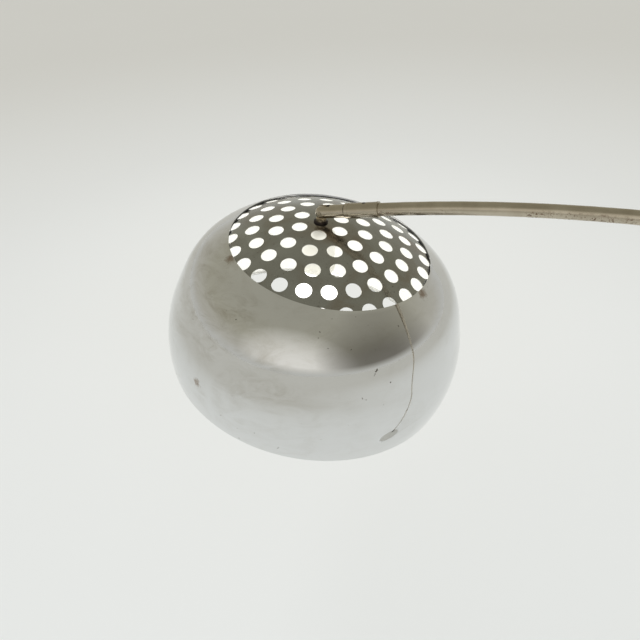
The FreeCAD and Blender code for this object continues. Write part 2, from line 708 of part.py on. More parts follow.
def bowl_point(degrees, inset):
    """Point of the bowl's profile: a squashed circle that swells a little at its shoulder."""
    t = math.radians(degrees)
    normal = Vector(BOWL_SQUASH * math.sin(t), 0, math.cos(t))
    normal.normalize()
    swell = 0.0
    if BOWL_SWELL_FROM_DEG < degrees < BOWL_SWELL_TO_DEG:
        span = BOWL_SWELL_TO_DEG - BOWL_SWELL_FROM_DEG
        swell = BOWL_SWELL * math.sin(math.pi * (degrees - BOWL_SWELL_FROM_DEG) / span) ** 2
    surface = Vector(BOWL_R * math.sin(t), 0, BOWL_SQUASH * BOWL_R * math.cos(t) + BOWL_ABOVE_DOME_CENTRE)
    return surface + normal * (swell - inset)


def bowl_curve(inset):
    """Smooth curve through points of the bowl's profile."""
    degrees = range(int(BOWL_TOP_DEG), int(BOWL_BOTTOM_DEG) + 1, BOWL_POINT_STEP_DEG)
    curve = Part.BSplineCurve()
    curve.interpolate([bowl_point(d, inset) for d in degrees])
    return curve.toShape()


def shade_bowl():
    top, bottom = BOWL_TOP_DEG, BOWL_BOTTOM_DEG
    outer = bowl_curve(0)
    inner = bowl_curve(BOWL_WALL)
    edges = [outer, Part.makeLine(bowl_point(bottom, 0), bowl_point(bottom, BOWL_WALL)),
             inner, Part.makeLine(bowl_point(top, BOWL_WALL), bowl_point(top, 0))]
    shell = Part.Face(Part.Wire(Part.sortEdges(edges)[0])).revolve(Vector(0, 0, 0), Z_AXIS, 360)
    bead = bowl_point(bottom, BOWL_BEAD_R)
    torus = Part.makeTorus(bead.x, BOWL_BEAD_R, Vector(0, 0, bead.z), Z_AXIS)
    return placed(one_solid(shell.fuse(torus)), bowl_frame())


# ---- flex ----

def swept(points_edges, radius, start, direction):
    """Round solid along a wire of lines and tangent arcs."""
    wire = Part.Wire(points_edges)
    circle = Part.Wire(Part.makeCircle(radius, start, direction))
    return wire.makePipeShell([circle], True, True)


def flex_lower():
    """Lead from the gland, round one bend and up the pole."""
    start = Vector(BASE_R + GLAND_LIP - GLAND_L, 0, FLEX_Z)
    bend_start = Vector(POLE_X + FLEX_BEND_R, 0, FLEX_Z)
    bend_end = Vector(POLE_X, 0, FLEX_Z + FLEX_BEND_R)
    reach = FLEX_BEND_R * (1 - math.sqrt(0.5))
    middle = Vector(POLE_X + reach, 0, FLEX_Z + reach)
    edges = [Part.makeLine(start, bend_start), Part.Arc(bend_start, middle, bend_end).toShape(),
             Part.makeLine(bend_end, Vector(POLE_X, 0, FLEX_POLE_TOP))]
    return swept(edges, FLEX_R, start, X_AXIS * -1)


def flex_arc():
    """Lead inside the arc, from its foot to the ferrule."""
    foot = Vector(POLE_X, 0, LOWER_FOOT_Z - GUIDE_H / 2)
    straight = rod(FLEX_R, foot, Vector(POLE_X, 0, TANGENT_Z))
    end = arc_point(ARC_END_DEG)
    tail = rod(FLEX_R, end - arm_direction() * (TUBE_SEAT - 1), end)
    bends = arc_tube(FLEX_R, 0, ARC_END_DEG, 0).fuse(arc_tube(FLEX_R, 0, 0, 90))
    return one_solid(straight.fuse(bends).fuse(tail))


def flex_head():
    """Lead inside the nipple, down to the holder's core."""
    return placed(rod(HEAD_FLEX_R, along(-HOLDER_SHOULDER - INSERT_DROP), along(-NIPPLE_TOP)), HEAD_FRAME)


NODES = (
    felt_pad, base_weight, base_cover, cable_gland, pole_socket, socket_screws, pole_tube, clamp_collar,
    clamp_bush, clamp_knob, lower_arc, guide_bush, joint_reducer, joint_screw, upper_arc, end_ferrule,
    ferrule_screw, swivel_spigot, knuckle, retaining_screw, pivot_screw, pivot_nut, hanger, top_washer,
    threaded_nipple, inner_washer, lock_nut, holder_cap, holder_skirt, holder_insert, screw_shell,
    centre_contact, bulb_cap, bulb_glass, perforated_dome, glide_ring, shade_bowl,
    flex_lower, flex_arc, flex_head,
)


def main():
    os.makedirs("parts", exist_ok=True)
    for build in NODES:
        shape = build()
        shape.exportStep(f"parts/{build.__name__}.step")
        box = shape.BoundBox
        print(f"{build.__name__:18s} solids {len(shape.Solids)} valid {shape.isValid()} "
              f"volume {shape.Volume:11.1f} z {box.ZMin:8.2f} {box.ZMax:8.2f}")
    print("tilt pin", [round(v, 2) for v in PIN], "arm", [round(v, 4) for v in arm_direction()])
    print("dome axis", [round(v, 5) for v in HEAD_FRAME.Rotation.multVec(Z_AXIS)],
          "dome centre", [round(v, 3) for v in HEAD_FRAME.multVec(DOME_CENTRE)],
          "bowl axis", [round(v, 5) for v in bowl_frame().Rotation.multVec(Z_AXIS)])


main()
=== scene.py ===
"""Looks of the arc floor lamp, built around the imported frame. Lengths are in metres."""
import json
import math

import bpy
from mathutils import Matrix, Vector
from mathutils.geometry import delaunay_2d_cdt


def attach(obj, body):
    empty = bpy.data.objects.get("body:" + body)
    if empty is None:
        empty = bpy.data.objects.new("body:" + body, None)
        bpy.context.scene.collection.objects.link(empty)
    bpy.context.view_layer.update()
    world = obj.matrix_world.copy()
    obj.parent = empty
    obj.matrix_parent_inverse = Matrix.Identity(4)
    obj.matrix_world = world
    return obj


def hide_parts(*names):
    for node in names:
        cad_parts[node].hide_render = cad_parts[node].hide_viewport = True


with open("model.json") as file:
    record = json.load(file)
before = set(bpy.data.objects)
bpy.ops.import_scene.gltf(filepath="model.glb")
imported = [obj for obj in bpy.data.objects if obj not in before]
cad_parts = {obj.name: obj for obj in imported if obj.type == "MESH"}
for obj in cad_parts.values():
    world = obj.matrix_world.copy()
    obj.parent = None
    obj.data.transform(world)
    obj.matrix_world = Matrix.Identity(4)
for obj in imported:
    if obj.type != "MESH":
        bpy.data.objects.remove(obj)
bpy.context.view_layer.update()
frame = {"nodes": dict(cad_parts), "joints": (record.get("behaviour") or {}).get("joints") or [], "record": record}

MM = 0.001
JOINTS = {j["name"]: j for j in frame["joints"]}
PIN = Vector(JOINTS["head_tilt"]["pos_m"])
ARM_WAY = Vector(JOINTS["knuckle_swivel"]["axis"]).normalized()
DOME_AXIS = Vector(JOINTS["dome_turn"]["axis"]).normalized()
BOWL_AXIS = Vector(JOINTS["bowl_spin"]["axis"]).normalized()
DOME_CENTRE = Vector(JOINTS["bowl_spin"]["pos_m"])
POLE_X = JOINTS["arc_swivel"]["pos_m"][0]

# Dome and bowl, as in the design
DOME_R = 224.0 * MM
DOME_WALL = 0.8 * MM
DOME_EDGE_DEG = 35.4
HOLE_R = 8.55 * MM
HOLE_STEP_DEG = 6.6
HOLE_RINGS = 5
HOLES_PER_RING = 6
HOLE_PHASES_DEG = (46.4, 8.7, 5.7, 12.3, 5.2)
CENTRE_HOLE_R = 5.08 * MM
DOME_EDGE_SEGMENTS = 240
DOME_HOLE_SEGMENTS = 40
DOME_CENTRE_SEGMENTS = 32
DOME_GRID_ROWS = 34
DOME_GRID_REACH = 40
DOME_HOLE_CLEARANCE = 0.006  # radians
DOME_EDGE_CLEARANCE = 0.008  # radians
HOLE_INSIDE_SHARE = 0.985
SKIN_INSET = 0.03 * MM
BOWL_R = 180.0 * MM
BOWL_SQUASH = 0.9225
BOWL_WALL = 0.8 * MM
BOWL_ABOVE_DOME_CENTRE = 0.379 * BOWL_R
BOWL_TOP_DEG = 40.0
BOWL_BOTTOM_DEG = 103.0
BOWL_SWELL = 4.0 * MM
BOWL_SWELL_FROM_DEG = 38.0
BOWL_SWELL_TO_DEG = 74.0
BOWL_BEAD_R = 1.2 * MM
BOWL_BEAD_STEPS = 9
BOWL_BEAD_STEP_DEG = 27.0
BOWL_SKIN_INSET = 0.05 * MM
BOWL_PROFILE_STEPS = 84
BOWL_SEGMENTS = 288
RIM_OUTER_SHARE = 0.25
RIM_INNER_SHARE = 0.75

# Arc tubes, as in the design
POLE_BEND_R = 892.0 * MM
HEAD_BEND_R = 1700.0 * MM
TANGENT_Z = 1125.0 * MM
ARC_END_DEG = -11.0
JOINT_DEG = 32.0
UPPER_OVERLAP_DEG = 2.2
UPPER_R = 7.0 * MM
UPPER_WALL = 1.2 * MM
LOWER_R = 9.0 * MM
LOWER_WALL = 1.5 * MM
LOWER_FOOT_Z = 620.0 * MM
TUBE_SEAT = 21.0 * MM
TUBE_SEGMENTS = 48

# Camera: its place relative to the tilt pin and where it looks
CAMERA_FROM_PIN = Vector((1.36975, -3.34618, 1.85818)) * BOWL_R
CAMERA_AZIMUTH = 22.902
CAMERA_ELEVATION = 36.545
CAMERA_ROLL = 2.560
CAMERA_LENS = 36.94
CAMERA_SENSOR = 36.0
CAMERA_NEAR = 0.01

# Marks on the shade, as offsets from the tilt pin, with the reach of each rust bloom
HAZE_SPOT = PIN + Vector((-0.0865, -0.1300, -0.0807))
RUST_SPOTS = (
    (PIN + Vector((-0.0744, -0.0804, -0.0280)), 0.008),
    (PIN + Vector((0.1225, -0.0224, -0.0674)), 0.008),
    (PIN + Vector((-0.0876, -0.1613, -0.1403)), 0.006),
)

# The surround's brightest and darkest sides, and the floor's painted light: the centre of a painted pool of light
# and a painted bright patch
BRIGHT_WAY = Vector((0.14, -0.97, 0.22)).normalized()
DARK_WAY = Vector((0.93, -0.30, 0.20)).normalized()
PAINTED_POOL_CENTRE = (-1.3, 0.5, 0.0)
PAINTED_LIGHT_PATCH = (-2.2, 2.6, 0.0)
FLOOR_HALF = 60.0
SUN_ENERGY = 1.95
SUN_SPREAD_DEG = 50.0
SUN_TILT_DEG = (24.0, -16.0, 0.0)


# ---- node helpers ----

class Graph:
    """A material's or world's node tree, with short calls for the nodes used here."""

    def __init__(self, tree):
        self.tree = tree
        self.tree.nodes.clear()

    def node(self, kind, inputs=(), **settings):
        made = self.tree.nodes.new(kind)
        for name, value in settings.items():
            setattr(made, name, value)
        for key, value in dict(inputs).items():
            if isinstance(value, bpy.types.NodeSocket):
                self.tree.links.new(value, made.inputs[key])
            else:
                made.inputs[key].default_value = value
        return made

    def noise(self, vector, scale, detail=4.0, rough=0.55, distort=0.0):
        made = self.node("ShaderNodeTexNoise", {
            "Vector": vector, "Scale": scale, "Detail": detail, "Roughness": rough, "Distortion": distort})
        return made.outputs["Fac"]

    def ramp(self, value, stops):
        made = self.node("ShaderNodeValToRGB", {"Fac": value})
        ramp = made.color_ramp
        while len(ramp.elements) < len(stops):
            ramp.elements.new(0.5)
        for element, (place, colour) in zip(ramp.elements, stops):
            element.position = place
            element.color = colour if len(colour) == 4 else (*colour, 1.0)
        return made.outputs["Color"]

    def grey_ramp(self, value, *stops):
        return self.ramp(value, [(place, (level, level, level)) for place, level in stops])

    def maths(self, operation, first, second):
        return self.node("ShaderNodeMath", {0: first, 1: second}, operation=operation).outputs[0]

    def vector_maths(self, operation, first, second):
        """Number that a two-vector operation gives."""
        made = self.node("ShaderNodeVectorMath", {0: first, 1: second}, operation=operation)
        return made.outputs["Value"]

    def near(self, where, spot, inner, outer):
        """1 within inner of the spot, falling to 0 at outer."""
        away = self.vector_maths("DISTANCE", where, spot)
        return self.node("ShaderNodeMapRange", {
            "Value": away, "From Min": inner, "From Max": outer, "To Min": 1.0, "To Max": 0.0},
            interpolation_type="SMOOTHSTEP").outputs["Result"]

    def mix(self, factor, first, second):
        made = self.node("ShaderNodeMix", data_type="RGBA")
        for socket, value in ((made.inputs[0], factor), (made.inputs[6], first), (made.inputs[7], second)):
            if isinstance(value, bpy.types.NodeSocket):
                self.tree.links.new(value, socket)
            else:
                socket.default_value = value
        return made.outputs[2]

    def bump(self, height, strength, distance):
        return self.node("ShaderNodeBump", {
            "Height": height, "Strength": strength, "Distance": distance}).outputs["Normal"]

    def place(self, kind="Object", stretch=(1.0, 1.0, 1.0)):
        coordinates = self.node("ShaderNodeTexCoord").outputs[kind]
        return self.node("ShaderNodeMapping", {"Vector": coordinates, "Scale": stretch}).outputs["Vector"]

    def surface(self, **inputs):
        """Principled surface joined to the output; names use _ for a space."""
        values = {name.replace("_", " "): value for name, value in inputs.items()}
        shader = self.node("ShaderNodeBsdfPrincipled", values)
        output = self.node("ShaderNodeOutputMaterial")
        self.tree.links.new(shader.outputs[0], output.inputs["Surface"])
        return shader


def material(name):
    made = bpy.data.materials.new(name)
    made.use_nodes = True
    return made, Graph(made.node_tree)


# ---- materials ----

def chrome_shade():
    """Mirror chrome with hazy smudges on one flank, three small rust marks and a few dark specks."""
    made, g = material("chrome_shade")
    where = g.place()
    cloud = g.noise(where, 11.0, 6.0, 0.62, 0.9)
    wisps = g.noise(g.place(stretch=(1.0, 1.0, 2.6)), 24.0, 7.0, 0.68, 1.4)
    flank = g.near(where, HAZE_SPOT, 0.03, 0.17)
    haze = g.maths("MULTIPLY", g.grey_ramp(cloud, (0.38, 0.0), (0.62, 1.0)),
                   g.grey_ramp(wisps, (0.40, 0.0), (0.66, 1.0)))
    haze = g.maths("MULTIPLY", haze, g.maths("ADD", g.maths("MULTIPLY", flank, 0.75), 0.25))
    tint = g.mix(haze, (0.73, 0.735, 0.73, 1), (0.52, 0.505, 0.46, 1))
    edge_noise = g.maths("MULTIPLY", g.maths("SUBTRACT", g.noise(where, 260.0, 5.0, 0.65), 0.5), 0.016)
    rust = None
    for spot, reach in RUST_SPOTS:
        away = g.maths("ADD", g.vector_maths("DISTANCE", where, spot), edge_noise)
        mark = g.maths("SUBTRACT", 1.0, g.maths("DIVIDE", away, reach))
        mark = g.grey_ramp(mark, (0.0, 0.0), (0.7, 0.75))
        rust = mark if rust is None else g.maths("MAXIMUM", rust, mark)
    specks = g.noise(where, 210.0, 2.0, 0.4)
    speck_mask = g.maths("MULTIPLY", g.grey_ramp(specks, (0.74, 0.0), (0.77, 0.8)),
                         g.grey_ramp(g.noise(where, 12.0, 2.0), (0.50, 0.0), (0.60, 1.0)))
    colour = g.mix(speck_mask, tint, (0.12, 0.10, 0.08, 1))
    colour = g.mix(rust, colour, (0.22, 0.14, 0.075, 1))
    grime = g.noise(where, 260.0, 3.0, 0.7)
    rough = g.maths("ADD", g.maths("MULTIPLY", haze, 0.17), g.maths("MULTIPLY", speck_mask, 0.3))
    rough = g.maths("ADD", rough, g.maths("MULTIPLY", rust, 0.4))
    rough = g.maths("ADD", rough, g.maths("MULTIPLY", g.grey_ramp(grime, (0.4, 0.0), (0.8, 1.0)), 0.03))
    g.surface(Base_Color=colour, Metallic=1.0, Roughness=g.maths("ADD", rough, 0.03),
              Normal=g.bump(g.noise(where, 20.0, 2.0, 0.4), 0.015, 0.002))
    return made


def white_enamel_painted_glow():
    """Warm white stove-enamelled inside of the shade, with a painted glow: its emission stands in for the lamp's
    light on it.
    """
    made, g = material("white_enamel_painted_glow")
    where = g.place()
    patch = g.noise(where, 14.0, 3.0)
    colour = g.mix(patch, (0.90, 0.89, 0.85, 1), (0.82, 0.81, 0.76, 1))
    # painted glow: the emission below brightens the white inside evenly, standing in for the bulb's light on it
    g.surface(Base_Color=colour, Roughness=g.maths("ADD", g.maths("MULTIPLY", patch, 0.15), 0.30),
              Emission_Color=(0.985, 0.99, 1.0, 1), Emission_Strength=0.28,
              Normal=g.bump(g.noise(where, 320.0, 2.0), 0.06, 0.0004))
    return made


def grey_dome():
    """Polished grey metal with brown bloom and fine pitting."""
    made, g = material("grey_dome")
    where = g.place()
    bloom = g.noise(where, 16.0, 5.0, 0.6, 0.5)
    colour = g.ramp(bloom, [(0.35, (0.36, 0.365, 0.335)), (0.52, (0.31, 0.31, 0.28)),
                            (0.72, (0.25, 0.215, 0.165))])
    pits = g.noise(where, 420.0, 2.0, 0.5)
    pit_mask = g.grey_ramp(pits, (0.66, 0.0), (0.74, 0.6))
    colour = g.mix(pit_mask, colour, (0.06, 0.045, 0.03, 1))
    rough = g.maths("ADD", g.maths("MULTIPLY", bloom, 0.14), 0.06)
    g.surface(Base_Color=colour, Metallic=0.95, Roughness=rough, Normal=g.bump(pits, 0.05, 0.0004))
    return made


def satin_nickel():
    """Satin nickel drawn along the tube, olive-brown, with rust pits on the tube's lower front."""
    made, g = material("satin_nickel")
    where = g.place()
    lines = g.noise(g.place("UV", (25.0, 60.0, 1.0)), 1.0, 5.0, 0.7)
    cloud = g.noise(where, 30.0, 4.0, 0.6)
    colour = g.ramp(cloud, [(0.3, (0.37, 0.32, 0.24)), (0.55, (0.47, 0.42, 0.33)),
                            (0.8, (0.55, 0.50, 0.41))])
    colour = g.mix(g.grey_ramp(lines, (0.35, 0.0), (0.75, 0.4)), colour, (0.66, 0.60, 0.50, 1))
    around = g.node("ShaderNodeSeparateXYZ", {0: g.place("UV")}).outputs["Y"]
    front = g.grey_ramp(around, (0.16, 0.0), (0.24, 1.0), (0.42, 1.0), (0.50, 0.0))
    pits = g.noise(where, 420.0, 4.0, 0.65)
    patch = g.noise(where, 34.0, 3.0, 0.6)
    mask = g.maths("MULTIPLY", g.grey_ramp(pits, (0.53, 0.0), (0.60, 1.0)),
                   g.grey_ramp(patch, (0.52, 0.0), (0.64, 1.0)))
    mask = g.maths("MULTIPLY", mask, front)
    colour = g.mix(mask, colour, (0.10, 0.048, 0.02, 1))
    rough = g.maths("ADD", g.maths("MULTIPLY", lines, 0.14), g.maths("MULTIPLY", mask, 0.45))
    metal = g.maths("SUBTRACT", 1.0, g.maths("MULTIPLY", mask, 0.9))
    g.surface(Base_Color=colour, Metallic=metal, Roughness=g.maths("ADD", rough, 0.13),
              Normal=g.bump(pits, 0.10, 0.0003))
    return made


def plain_finish(name, low, high, rough, metallic=0.0, scale=60.0, bump=0.06, **more):
    """A finish that varies between two colours, with fine grain."""
    made, g = material(name)
    where = g.place()
    cloud = g.noise(where, scale, 4.0, 0.6)
    grain = g.noise(where, 9 * scale, 3.0, 0.6)
    colour = g.mix(g.grey_ramp(cloud, (0.3, 0.0), (0.7, 1.0)), (*low, 1), (*high, 1))
    g.surface(Base_Color=colour, Metallic=metallic, Normal=g.bump(grain, bump, 0.0005),
              Roughness=g.maths("ADD", g.maths("MULTIPLY", cloud, 0.15), rough), **more)
    return made


def felt_finish():
    """Dark pressed felt."""
    made, g = material("felt")
    where = g.place()
    fibre = g.noise(where, 900.0, 4.0, 0.8)
    colour = g.mix(fibre, (0.03, 0.03, 0.03, 1), (0.11, 0.11, 0.105, 1))
    g.surface(Base_Color=colour, Roughness=0.95, Sheen_Weight=0.4, Normal=g.bump(fibre, 0.5, 0.001))
    return made


def all_finishes():
    """One finish for each of the record's material slots."""
    return {
        "felt": felt_finish(),
        "cast_iron": plain_finish("cast_iron", (0.05, 0.05, 0.05), (0.11, 0.10, 0.10), 0.6, 0.6, 40.0, 0.3),
        "satin_nickel": satin_nickel(),
        "white_lacquer": plain_finish("white_lacquer", (0.54, 0.545, 0.535), (0.63, 0.63, 0.62), 0.22, 0.0,
                                      26.0, 0.03),
        "dark_metal": plain_finish("dark_metal", (0.018, 0.015, 0.014), (0.06, 0.045, 0.04), 0.30, 0.8,
                                   90.0),
        "black_plastic": plain_finish("black_plastic", (0.02, 0.02, 0.02), (0.04, 0.04, 0.04), 0.45),
        "steel": plain_finish("steel", (0.30, 0.29, 0.27), (0.48, 0.47, 0.45), 0.25, 1.0, 120.0),
        "nylon": plain_finish("nylon", (0.03, 0.03, 0.03), (0.06, 0.06, 0.055), 0.4),
        "flex": plain_finish("flex", (0.70, 0.70, 0.66), (0.80, 0.80, 0.76), 0.4),
        # the holder's white ceramic carries a faint painted glow: its emission stands in for the bulb's light on
        # it
        "white_ceramic": plain_finish("white_ceramic", (0.74, 0.73, 0.67), (0.84, 0.83, 0.78), 0.15,
                                      Emission_Color=(1.0, 0.97, 0.9, 1), Emission_Strength=0.12),
        "brass": plain_finish("brass", (0.55, 0.40, 0.15), (0.72, 0.55, 0.25), 0.25, 1.0),
        "bulb_metal": plain_finish("bulb_metal", (0.55, 0.55, 0.53), (0.70, 0.70, 0.68), 0.22, 1.0),
        "bulb_glass": plain_finish("bulb_glass", (0.93, 0.92, 0.88), (0.97, 0.96, 0.93), 0.15, 0.0,
                                   30.0, 0.02, Emission_Color=(1.0, 0.98, 0.94, 1), Emission_Strength=2.1),
        "grey_dome": grey_dome(),
        "chrome_shade": chrome_shade(),
    }


# ---- mesh helpers ----

def axis_matrix(origin, axis):
    """Local frame at origin whose +Z is the axis."""
    turn = Vector((0, 0, 1)).rotation_difference(axis)
    return Matrix.Translation(origin) @ turn.to_matrix().to_4x4()


def new_piece(name, verts, faces, nodes, body, materials, sharp_deg=35.0):
    """Mesh object that stands for CAD nodes and rides on their body."""
    mesh = bpy.data.meshes.new(name)
    mesh.from_pydata([tuple(v) for v in verts], [], faces)
    mesh.validate()
    for finish in materials:
        mesh.materials.append(finish)
    mesh.polygons.foreach_set("use_smooth", [True] * len(mesh.polygons))
    mesh.set_sharp_from_angle(angle=math.radians(sharp_deg))
    piece = bpy.data.objects.new(name, mesh)
    bpy.context.scene.collection.objects.link(piece)
    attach(piece, body)
    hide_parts(*nodes)
    return piece


def lathe(profile, segments):
    """Closed (radius, height) loop turned round the local Z axis."""
    count = len(profile)
    verts = []
    for s in range(segments):
        a = 2 * math.pi * s / segments
        verts += [Vector((r * math.cos(a), r * math.sin(a), z)) for r, z in profile]
    faces = []
    for s in range(segments):
        near = s * count
        far = ((s + 1) % segments) * count
        for i in range(count):
            j = (i + 1) % count
            faces.append((near + i, far + i, far + j, near + j))
    return verts, faces


def sweep(stations, outer, inner, segments=TUBE_SEGMENTS):
    """Hollow tube through (centre, outward) stations in the arc's plane, with UVs of length and turn."""
    side = Vector((0, -1, 0))
    verts, lengths = [], []
    for index, (centre, outward) in enumerate(stations):
        lengths.append(lengths[-1] + (centre - stations[index - 1][0]).length if index else 0.0)
        for radius in (outer, inner):
            for s in range(segments):
                a = 2 * math.pi * s / segments
                verts.append(centre + (outward * math.cos(a) + side * math.sin(a)) * radius)
    faces, uvs = [], []

    def quad(corners, flip):
        """Corners are (station, 0 outer or 1 inner, segment)."""
        corners = corners[::-1] if flip else corners
        faces.append([(2 * k + skin) * segments + s % segments for k, skin, s in corners])
        uvs.extend((lengths[k], s / segments) for k, _, s in corners)

    last = len(stations) - 1
    for s in range(segments):
        for k in range(last):
            quad([(k, 0, s), (k + 1, 0, s), (k + 1, 0, s + 1), (k, 0, s + 1)], False)
            quad([(k, 1, s), (k + 1, 1, s), (k + 1, 1, s + 1), (k, 1, s + 1)], True)
        quad([(0, 0, s), (0, 0, s + 1), (0, 1, s + 1), (0, 1, s)], False)
        quad([(last, 0, s), (last, 0, s + 1), (last, 1, s + 1), (last, 1, s)], True)
    return verts, faces, uvs


# ---- arc ----

def arc_station(degrees):
    """Point and outward direction on the arc: 90 at the pole's tangent, 0 at the top."""
    a = math.radians(degrees)
    outward = Vector((math.sin(a), 0, math.cos(a)))
    radius = HEAD_BEND_R if degrees < 0 else POLE_BEND_R
    apex = Vector((POLE_X - POLE_BEND_R, 0, TANGENT_Z + POLE_BEND_R))
    return apex - Vector((0, 0, radius)) + outward * radius, outward


def bend(from_deg, to_deg, step=1.0):
    """Stations along the arc, about a step of degrees apart."""
    count = max(1, round(abs(to_deg - from_deg) / step))
    return [arc_station(from_deg + (to_deg - from_deg) * i / count) for i in range(count + 1)]


def build_arc(finishes):
    """Upper and lower tubes of the arm, from the head's seat to the foot in the pole."""
    end, outward = arc_station(ARC_END_DEG)
    upper = [(end - ARM_WAY * TUBE_SEAT, outward)] + bend(ARC_END_DEG, 0)
    upper += bend(0, JOINT_DEG + UPPER_OVERLAP_DEG)[1:]
    foot = Vector((POLE_X, 0, LOWER_FOOT_Z))
    lower = bend(JOINT_DEG, 90) + [(foot, Vector((1, 0, 0)))]
    for name, node, stations, radius, wall in (("upper_tube", "upper_arc", upper, UPPER_R, UPPER_WALL),
                                               ("lower_tube", "lower_arc", lower, LOWER_R, LOWER_WALL)):
        verts, faces, uvs = sweep(stations, radius - SKIN_INSET, radius - wall)
        piece = new_piece(name, verts, faces, [node], "arc", [finishes["satin_nickel"]])
        layer = piece.data.uv_layers.new(name="length_turn")
        for loop, uv in zip(layer.data, uvs):
            loop.uv = uv


# ---- shade ----

def bowl_point(degrees, inset):
    """Radius and height, over the dome's centre, of the bowl's profile."""
    t = math.radians(degrees)
    normal = Vector((BOWL_SQUASH * math.sin(t), math.cos(t))).normalized()
    swell = 0.0
    if BOWL_SWELL_FROM_DEG < degrees < BOWL_SWELL_TO_DEG:
        span = BOWL_SWELL_TO_DEG - BOWL_SWELL_FROM_DEG
        swell = BOWL_SWELL * math.sin(math.pi * (degrees - BOWL_SWELL_FROM_DEG) / span) ** 2
    surface = Vector((BOWL_R * math.sin(t), BOWL_SQUASH * BOWL_R * math.cos(t) + BOWL_ABOVE_DOME_CENTRE))
    return surface + normal * (swell - inset)


def bowl_profile():
    """Closed loop: outside from rim to bead, the rolled bead, then back up the inside."""
    steps = BOWL_PROFILE_STEPS
    angles = [BOWL_TOP_DEG + (BOWL_BOTTOM_DEG - BOWL_TOP_DEG) * i / steps for i in range(steps + 1)]
    outside = [bowl_point(a, BOWL_SKIN_INSET) for a in angles]
    outside[0] = bowl_point(BOWL_TOP_DEG, BOWL_WALL * RIM_OUTER_SHARE)
    centre = bowl_point(BOWL_BOTTOM_DEG, BOWL_BEAD_R)
    way = outside[-1] - centre
    bead = []
    for i in range(1, BOWL_BEAD_STEPS + 1):
        a = -math.radians(BOWL_BEAD_STEP_DEG * i)
        bead.append(centre + Vector((way.x * math.cos(a) - way.y * math.sin(a),
                                     way.x * math.sin(a) + way.y * math.cos(a))))
    inside = [bowl_point(a, BOWL_WALL) for a in reversed(angles[:-2])]
    inside[-1] = bowl_point(BOWL_TOP_DEG, BOWL_WALL * RIM_INNER_SHARE)
    return outside, bead, inside


def build_bowl(finishes, enamel_and_glow):
    """Chromed bowl, enamelled on its inside, where the enamelling carries a painted glow."""
    outside, bead, inside = bowl_profile()
    profile = outside + bead + inside
    verts, faces = lathe(profile, BOWL_SEGMENTS)
    place = axis_matrix(DOME_CENTRE, BOWL_AXIS)
    piece = new_piece("chrome_bowl", [place @ v for v in verts], faces, ["shade_bowl"], "bowl",
                      [finishes["chrome_shade"], enamel_and_glow])
    first_inside = len(outside) + len(bead)
    count = len(profile)
    for index, polygon in enumerate(piece.data.polygons):
        if index % count >= first_inside and index % count < count - 1:
            polygon.material_index = 1


def dome_hole_centres():
    """Hole centres as (angle from the pole, longitude)."""
    centres = []
    for ring in range(1, HOLE_RINGS + 1):
        count = HOLES_PER_RING * ring
        for i in range(count):
            lon = math.radians(HOLE_PHASES_DEG[ring - 1] + 360.0 * i / count)
            centres.append((math.radians(HOLE_STEP_DEG * ring), lon))
    return centres


def sphere_way(polar, lon):
    """Unit direction at an angle from the pole and a longitude."""
    return Vector((math.sin(polar) * math.cos(lon), math.sin(polar) * math.sin(lon), math.cos(polar)))


def flat_of(way):
    """A direction on the dome, laid flat: distance from the pole is its angle."""
    polar = math.acos(max(-1.0, min(1.0, way.z)))
    lon = math.atan2(way.y, way.x)
    return Vector((polar * math.cos(lon), polar * math.sin(lon)))


def flat_circle(radius, count):
    """Flat outline of a circle round the pole."""
    turns = (2 * math.pi * i / count for i in range(count))
    return [Vector((radius * math.cos(a), radius * math.sin(a))) for a in turns]


def loop_round(polar, lon, radius_deg, count):
    """Flat outline of a circle on the sphere round a direction."""
    centre = sphere_way(polar, lon)
    across = Vector((-math.sin(lon), math.cos(lon), 0))
    along = across.cross(centre)
    reach = math.radians(radius_deg)
    return [flat_of(centre * math.cos(reach) + (across * math.cos(a) + along * math.sin(a)) * math.sin(reach))
            for a in (2 * math.pi * i / count for i in range(count))]


def dome_sheet():
    """Flat points and triangles of the perforated cap."""
    hole_deg = math.degrees(math.asin(HOLE_R / DOME_R))
    centres = dome_hole_centres()
    edge = math.radians(DOME_EDGE_DEG)
    middle = CENTRE_HOLE_R / DOME_R
    loops = [flat_circle(edge, DOME_EDGE_SEGMENTS), flat_circle(middle, DOME_CENTRE_SEGMENTS)]
    loops += [loop_round(polar, lon, hole_deg, DOME_HOLE_SEGMENTS) for polar, lon in centres]
    points, edges = [], []
    for loop in loops:
        start = len(points)
        points += loop
        edges += [(start + i, start + (i + 1) % len(loop)) for i in range(len(loop))]
    flats = [flat_of(sphere_way(polar, lon)) for polar, lon in centres]
    clear = math.radians(hole_deg) + DOME_HOLE_CLEARANCE
    pitch = edge / DOME_GRID_ROWS
    reach = range(-DOME_GRID_REACH, DOME_GRID_REACH + 1)
    for row in reach:
        for column in reach:
            spot = Vector(((column + 0.5 * (row % 2)) * pitch, row * pitch * 0.866))
            if not middle + DOME_EDGE_CLEARANCE < spot.length < edge - DOME_EDGE_CLEARANCE:
                continue
            if all((spot - flat).length > clear for flat in flats):
                points.append(spot)
    flat_points, _, triangles, *_ = delaunay_2d_cdt(points, edges, [], 0, 1e-7)
    kept = []
    for triangle in triangles:
        spot = sum((flat_points[i] for i in triangle), Vector((0, 0))) / 3
        way = sphere_way(spot.length, math.atan2(spot.y, spot.x))
        if not middle < spot.length < edge:
            continue
        limit = math.radians(hole_deg) * HOLE_INSIDE_SHARE
        if all(way.angle(sphere_way(*centre)) > limit for centre in centres):
            kept.append(tuple(triangle))
    return flat_points, kept


